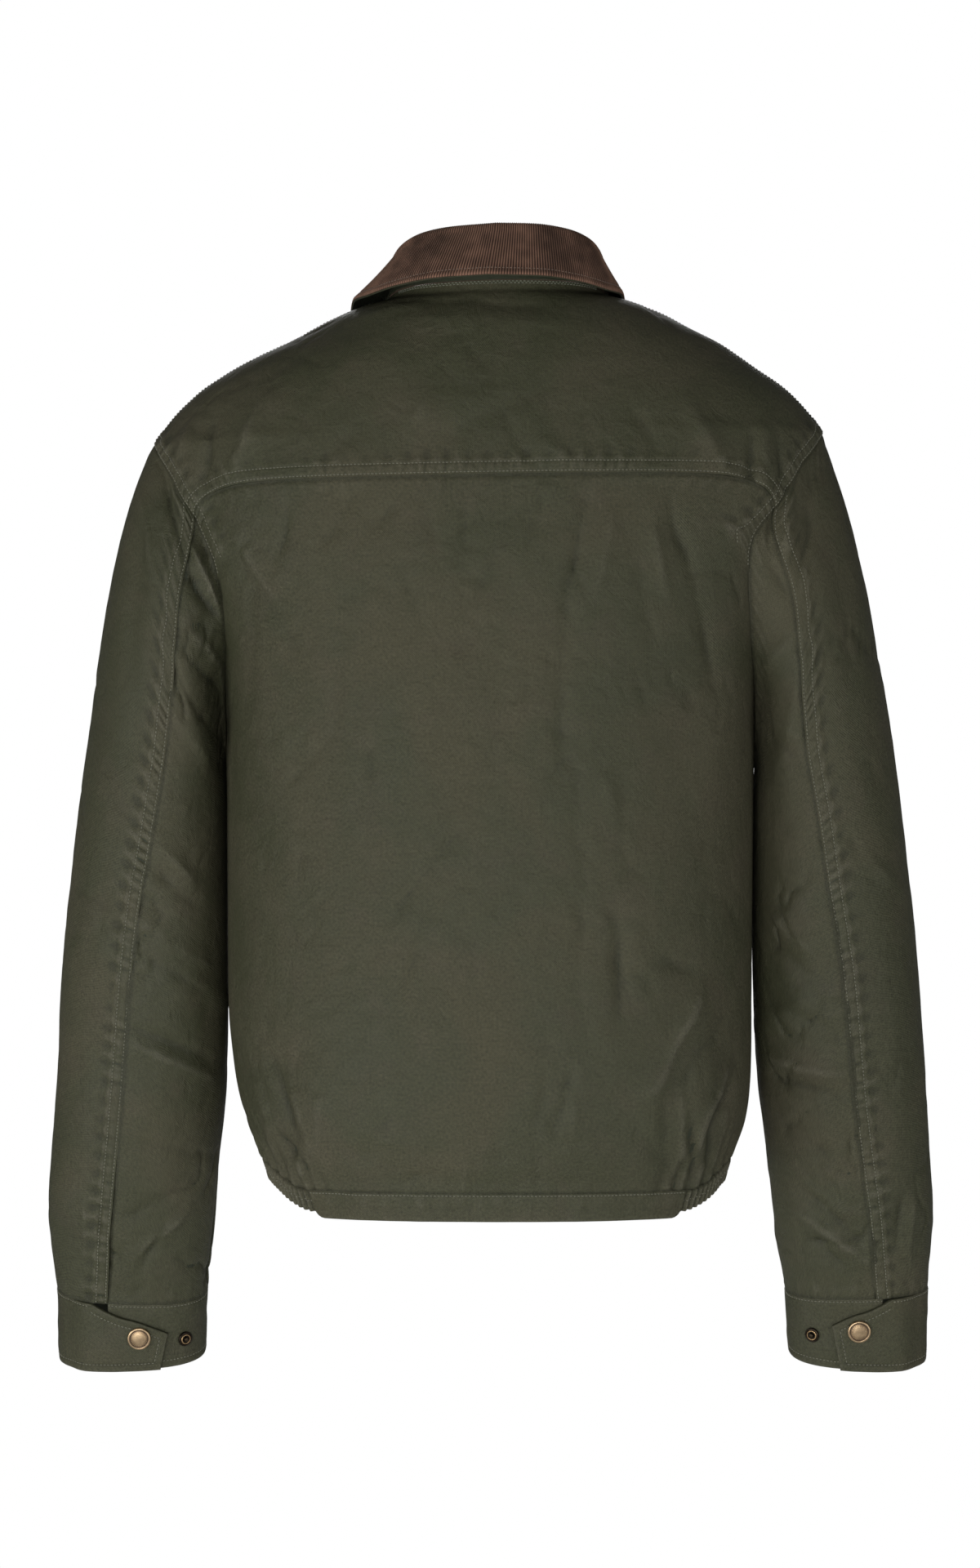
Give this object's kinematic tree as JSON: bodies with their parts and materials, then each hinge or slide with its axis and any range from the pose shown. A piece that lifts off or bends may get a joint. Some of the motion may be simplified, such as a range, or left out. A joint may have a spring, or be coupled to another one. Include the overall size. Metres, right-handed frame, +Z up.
{
  "type": "waxed jacket",
  "caption": "Short waxed cotton zip jacket with a corduroy collar, back yoke, snap-tab cuffs and an elasticated hem band, filled out as worn.",
  "frame": {"origin": "middle of the neck base, level with the tops of the shoulders that hold the jacket up", "axes": "+Z up, the front faces -Y and the back +Y, +X is the wearer's left"},
  "size_m": [0.6467, 0.284, 0.8284],
  "materials": {
    "waxed_cloth": "dark olive twill cotton, waxed: a dull, uneven sheen",
    "corduroy": "dark brown fine-wale corduroy, soft nap",
    "zip_tape": "dark olive woven tape, matt",
    "stitching": "olive polyester thread, matt",
    "snap_metal": "antique brass, satin",
    "zip_metal": "antique brass, satin"
  },
  "bodies": {
    "jacket": {"back_body": "waxed_cloth", "back_yoke": "waxed_cloth", "front_left": "waxed_cloth", "front_right": "waxed_cloth", "hem_back": "waxed_cloth", "hem_front_left": "waxed_cloth", "hem_front_right": "waxed_cloth", "hem_side_left": "waxed_cloth", "hem_side_right": "waxed_cloth", "sleeve_top_left": "waxed_cloth", "sleeve_top_right": "waxed_cloth", "sleeve_under_left": "waxed_cloth", "sleeve_under_right": "waxed_cloth", "cuff_left": "waxed_cloth", "cuff_right": "waxed_cloth", "collar_top": "corduroy", "collar_under": "waxed_cloth", "snap_cap_left": "snap_metal", "snap_cap_right": "snap_metal", "snap_stud_left": "snap_metal", "snap_stud_right": "snap_metal", "zip_tape_left": "zip_tape", "zip_tape_right": "zip_tape", "zip_chain": "zip_metal", "zip_slider": "zip_metal", "zip_box": "zip_metal"},
    "pull_tab": {"zip_pull": "zip_metal"}
  },
  "joints": [
    {"name": "pull_tab_hinge", "type": "hinge", "parent": "jacket", "child": "pull_tab", "pos_m": [0.00142, -0.0875, -0.07593], "axis": [-1, 0.0047, 0.0088], "range_deg": [0, 150]}
  ]
}
